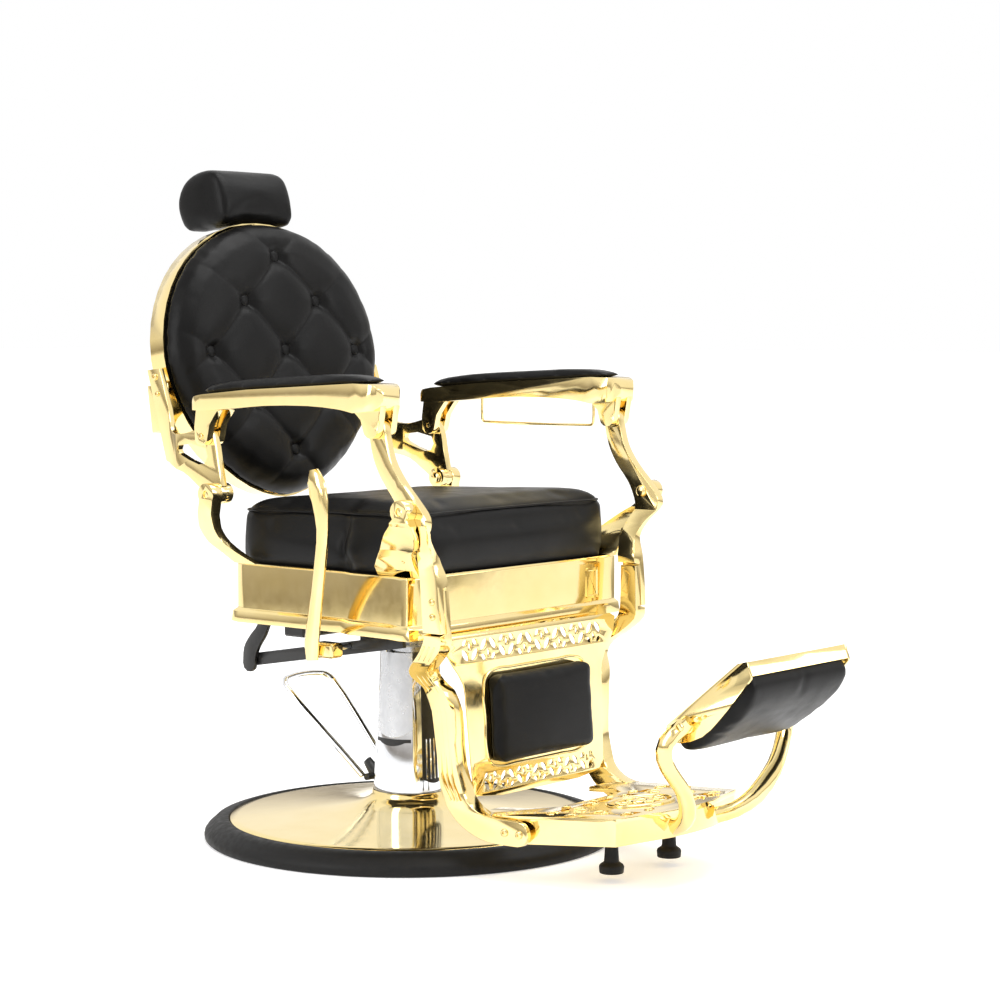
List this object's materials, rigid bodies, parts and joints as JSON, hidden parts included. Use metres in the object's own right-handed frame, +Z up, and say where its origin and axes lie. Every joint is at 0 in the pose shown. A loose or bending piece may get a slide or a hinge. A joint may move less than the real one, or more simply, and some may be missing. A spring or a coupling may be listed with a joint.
{
  "type": "hydraulic barber chair",
  "caption": "Reclining barber chair on a turning hydraulic pump base, with tufted round back, sliding headrest, linked armrests and leg frame, footplate and flip footrest",
  "frame": {"origin": "on the floor, on the axis of the pump", "axes": "+Z up, the chair faces -Y, +X is the sitter's left"},
  "size_m": [0.7, 1.2636, 1.1394],
  "materials": {
    "gold_casting": "polished gold-tone plating on alloy castings",
    "gold_steel": "polished gold-tone plating on pressed steel",
    "chrome": "mirror chrome plate",
    "steel": "machined steel",
    "black_steel": "satin black paint on steel",
    "rubber": "moulded black rubber",
    "leather": "black upholstery leather with a fine grain",
    "wood": "raw plywood, hidden"
  },
  "bodies": {
    "base": {"base_plate": "black_steel", "base_cover": "gold_steel", "base_ring": "rubber", "pump_socket": "steel"},
    "pump": {"pump_cylinder": "steel", "pump_shroud": "chrome"},
    "pedal": {"pump_lever": "black_steel", "pedal_loop": "chrome"},
    "chair": {"piston_rod": "steel", "seat_frame": "black_steel", "seat_pan": "steel", "seat_skirt": "gold_casting", "seat_cushion": "leather", "under_bar_l": "black_steel", "under_bar_r": "black_steel", "bar_hanger_l": "black_steel", "bar_hanger_r": "black_steel", "front_bracket_l": "gold_casting", "front_bracket_r": "gold_casting", "rear_stand_l": "gold_casting", "rear_stand_r": "gold_casting", "front_pivot_bolt_l": "gold_casting", "front_pivot_bolt_r": "gold_casting", "rear_pivot_bolt_l": "gold_casting", "rear_pivot_bolt_r": "gold_casting"},
    "recline_handle": {"recline_lever": "gold_casting", "lever_clamp": "gold_casting", "release_rod": "chrome"},
    "leg_frame": {"arm_post_l": "gold_casting", "arm_post_r": "gold_casting", "leg_rail_l": "gold_casting", "leg_rail_r": "gold_casting", "leg_panel": "gold_casting", "leg_pad": "leather", "footplate": "gold_casting", "rubber_foot_l": "rubber", "rubber_foot_r": "rubber", "rest_arm_l": "gold_casting", "rest_arm_r": "gold_casting"},
    "footrest": {"footrest_frame": "gold_casting", "footrest_pad": "leather", "footrest_bolt_l": "gold_casting", "footrest_bolt_r": "gold_casting"},
    "back": {"back_shell": "gold_casting", "back_board": "wood", "back_cushion": "leather", "headrest_sleeve": "steel", "back_bracket_l": "gold_casting", "back_bracket_r": "gold_casting", "back_channel": "gold_steel"},
    "headrest": {"headrest_cushion": "leather", "headrest_post": "chrome"},
    "armrest_left": {"armrest_l": "gold_casting", "arm_pad_l": "leather", "arm_rear_pin_l": "steel", "towel_bar": "gold_casting"},
    "armrest_right": {"armrest_r": "gold_casting", "arm_pad_r": "leather", "arm_rear_pin_r": "steel"}
  },
  "joints": [
    {"name": "swivel", "type": "hinge", "parent": "base", "child": "pump", "pos_m": [0, 0, 0.08], "axis": [0, 0, 1], "continuous": true},
    {"name": "pedal_press", "type": "hinge", "parent": "pump", "child": "pedal", "pos_m": [0, 0.074, 0.094], "axis": [-1, 0, 0], "range_deg": [0, 28], "stiffness_Nm_per_rad": 5, "springref_deg": -17.19},
    {"name": "lift", "type": "slide", "parent": "pump", "child": "chair", "axis": [0, 0, 1], "range_m": [0, 0.15]},
    {"name": "recline_release", "type": "hinge", "parent": "chair", "child": "recline_handle", "pos_m": [-0.29, -0.062, 0.35], "axis": [-1, 0, 0], "range_deg": [0, 20], "stiffness_Nm_per_rad": 6, "springref_deg": -11.46},
    {"name": "back_recline", "type": "hinge", "parent": "chair", "child": "back", "pos_m": [0, 0.17, 0.591], "axis": [-1, 0, 0], "range_deg": [0, 40]},
    {"name": "leg_swing", "type": "hinge", "parent": "chair", "child": "leg_frame", "pos_m": [0, -0.271, 0.584], "axis": [-1, 0, 0], "range_deg": [0, 31.6]},
    {"name": "armrest_left_tilt", "type": "hinge", "parent": "back", "child": "armrest_left", "pos_m": [0.285, 0.188, 0.686], "axis": [-1, 0, 0], "range_deg": [-43, 0]},
    {"name": "armrest_right_tilt", "type": "hinge", "parent": "back", "child": "armrest_right", "pos_m": [-0.285, 0.188, 0.686], "axis": [-1, 0, 0], "range_deg": [-43, 0]},
    {"name": "headrest_height", "type": "slide", "parent": "back", "child": "headrest", "axis": [0, 0.1414, 0.9899], "range_m": [0, 0.08]},
    {"name": "footrest_flip", "type": "hinge", "parent": "leg_frame", "child": "footrest", "pos_m": [0, -0.672, 0.272], "axis": [-1, 0, 0], "range_deg": [0, 105]}
  ],
  "couplings": [
    {"joint": "leg_swing", "follows": "back_recline", "ratio": 0.786},
    {"joint": "armrest_left_tilt", "follows": "back_recline", "ratio": -1.07},
    {"joint": "armrest_right_tilt", "follows": "back_recline", "ratio": -1.07}
  ]
}
